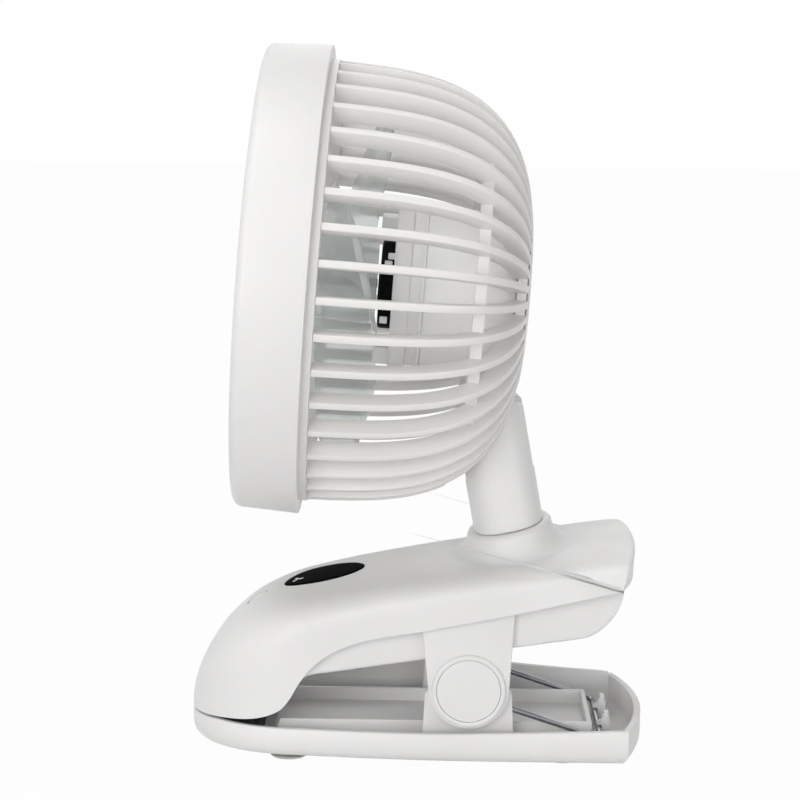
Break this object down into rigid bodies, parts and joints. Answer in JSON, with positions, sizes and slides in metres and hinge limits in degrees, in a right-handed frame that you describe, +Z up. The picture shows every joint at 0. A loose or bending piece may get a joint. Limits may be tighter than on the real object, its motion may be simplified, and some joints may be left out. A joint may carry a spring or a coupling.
{
  "type": "clip fan",
  "caption": "Battery clip fan: round caged fan head on a leaning swivel neck, over a smooth white base that is the upper jaw of a spring clip and also stands on a table",
  "frame": {"origin": "middle of the overall box in X and Y, at the underside of the feet", "axes": "+Z up; -Y is the way the fan blows and the way the jaws open; X is the clip's hinge line"},
  "size_m": [0.16, 0.1592, 0.2463],
  "materials": {
    "shell": "satin, very fine grain",
    "smoke": "half-clear gloss",
    "gloss": "high gloss",
    "rubber": "matt",
    "foot_rubber": "matt",
    "steel": "bright drawn wire and turned steel",
    "dark": "satin",
    "cell": "wrapped film",
    "board": "lacquered"
  },
  "bodies": {
    "lower_jaw": {"lower_jaw": "shell", "lower_jaw_pad": "rubber", "foot_front_right": "foot_rubber", "foot_front_left": "foot_rubber", "foot_back_right": "foot_rubber", "foot_back_left": "foot_rubber", "hinge_pin": "steel", "clip_spring": "steel"},
    "base": {"upper_housing": "shell", "lower_cover": "shell", "upper_jaw_pad": "rubber", "hinge_cap_right": "shell", "hinge_cap_left": "shell", "display_lens": "gloss", "button_board": "board", "battery_cell_right": "cell", "battery_cell_left": "cell", "main_board": "board", "usb_socket": "steel", "cover_screw_1": "steel", "cover_screw_2": "steel", "cover_screw_3": "steel", "cover_screw_4": "steel"},
    "button": {"power_button": "shell"},
    "neck": {"neck_column": "shell", "swivel_retainer": "dark", "retainer_screw_1": "steel", "retainer_screw_2": "steel", "tilt_pin": "steel"},
    "head": {"front_ring": "shell", "front_grille": "shell", "rear_cage": "shell", "rear_cap": "shell", "motor_housing": "shell", "rear_housing": "shell", "motor": "dark", "motor_shaft": "steel"},
    "impeller": {"impeller": "smoke"}
  },
  "joints": [
    {"name": "clip_hinge", "type": "hinge", "parent": "lower_jaw", "child": "base", "pos_m": [0, 0.0179, 0.0276], "axis": [-1, 0, 0], "range_deg": [0, 32], "stiffness_Nm_per_rad": 1.6, "springref_deg": -34.38, "deforming": ["clip_spring"]},
    {"name": "button_press", "type": "slide", "parent": "base", "child": "button", "axis": [0, 0.5931, -0.8051], "range_m": [0, 0.0007], "stiffness_N_per_m": 600, "springref_m": -0.0008},
    {"name": "neck_swivel", "type": "hinge", "parent": "base", "child": "neck", "pos_m": [0, 0.0323, 0.0802], "axis": [0, -0.2192, 0.9757], "range_deg": [-165, 165]},
    {"name": "head_tilt", "type": "hinge", "parent": "neck", "child": "head", "pos_m": [0, 0.02573, 0.10947], "axis": [-1, 0, 0], "range_deg": [-15, 60]},
    {"name": "impeller_spin", "type": "hinge", "parent": "head", "child": "impeller", "pos_m": [0, -0.03658, 0.16517], "axis": [0, 0.9978, -0.067], "continuous": true}
  ]
}
